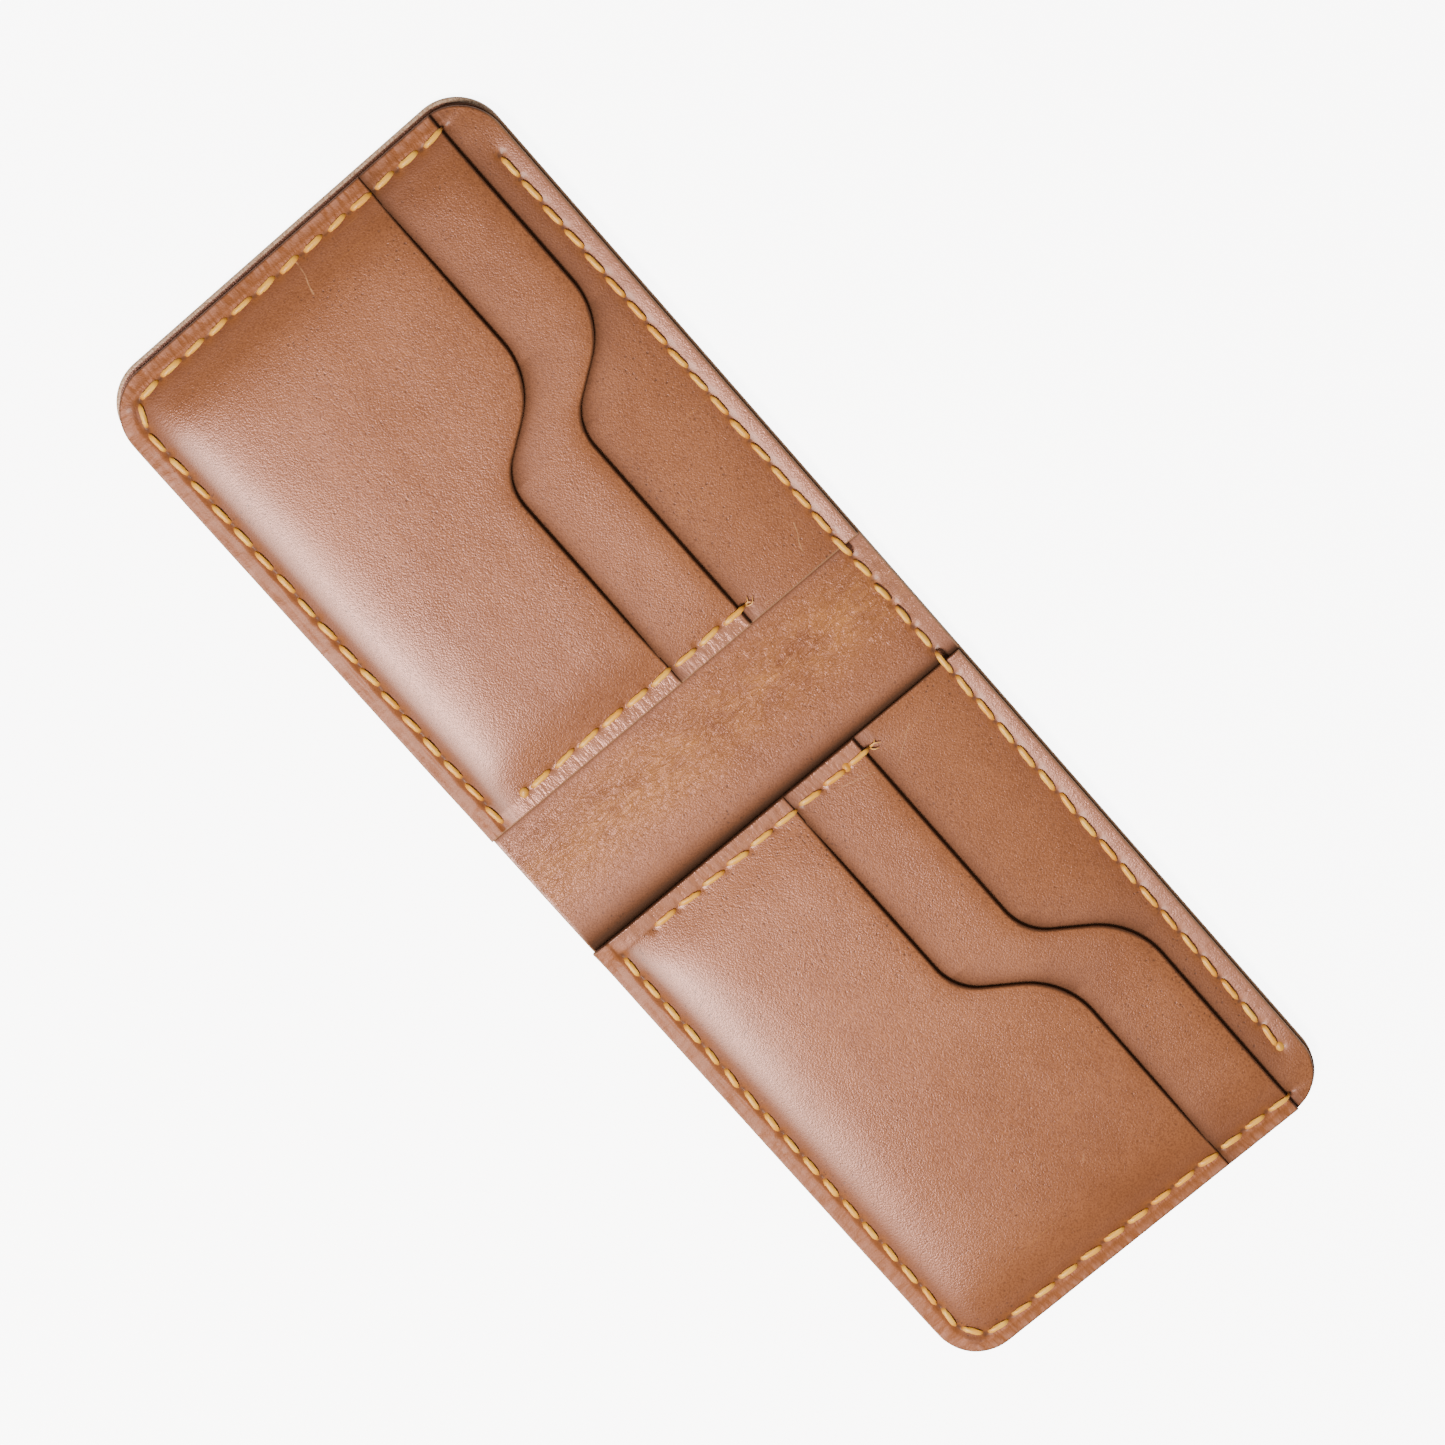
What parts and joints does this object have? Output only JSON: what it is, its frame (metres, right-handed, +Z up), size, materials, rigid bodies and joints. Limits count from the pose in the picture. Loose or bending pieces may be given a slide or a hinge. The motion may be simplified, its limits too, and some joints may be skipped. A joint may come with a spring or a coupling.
{
  "type": "bifold wallet",
  "caption": "Hand-stitched leather bifold wallet lying open, with a full-length note compartment and stepped card pockets with S-curved mouths on each half.",
  "frame": {"origin": "centre of the open wallet, on the surface that its outer shell lies on", "axes": "+X along the open length towards the right half, +Y towards the mouth of the note compartment, +Z up out of the inside face"},
  "size_m": [0.218, 0.079, 0.0053],
  "materials": {
    "shell_leather": "semi-gloss",
    "lining_leather": "semi-gloss",
    "panel_leather": "semi-gloss",
    "pocket_leather": "semi-gloss",
    "thread": "waxed"
  },
  "bodies": {
    "right_half": {"shell_right": "shell_leather", "lining_right": "lining_leather", "back_panel_right": "panel_leather", "upper_pocket_right": "pocket_leather", "front_pocket_right": "pocket_leather", "outer_seam_right": "thread", "inner_seam_right": "thread", "pocket_floor_seam_right": "thread", "top_seam_right": "thread"},
    "spine_right": {"shell_spine_right": "shell_leather", "lining_spine_right": "lining_leather", "top_seam_spine_right": "thread"},
    "spine_left": {"shell_spine_left": "shell_leather", "lining_spine_left": "lining_leather", "top_seam_spine_left": "thread"},
    "left_half": {"shell_left": "shell_leather", "lining_left": "lining_leather", "back_panel_left": "panel_leather", "upper_pocket_left": "pocket_leather", "front_pocket_left": "pocket_leather", "outer_seam_left": "thread", "inner_seam_left": "thread", "pocket_floor_seam_left": "thread", "top_seam_left": "thread"}
  },
  "joints": [
    {"name": "fold_right", "type": "hinge", "parent": "right_half", "child": "spine_right", "pos_m": [0.00508, 0, 0.0013], "axis": [0, 1, 0], "range_deg": [0, 60]},
    {"name": "fold_middle", "type": "hinge", "parent": "spine_right", "child": "spine_left", "pos_m": [0, 0, 0.0013], "axis": [0, 1, 0], "range_deg": [0, 60]},
    {"name": "fold_left", "type": "hinge", "parent": "spine_left", "child": "left_half", "pos_m": [-0.00508, 0, 0.0013], "axis": [0, 1, 0], "range_deg": [0, 60]}
  ],
  "couplings": [
    {"joint": "fold_middle", "follows": "fold_right", "ratio": 1},
    {"joint": "fold_left", "follows": "fold_right", "ratio": 1}
  ]
}
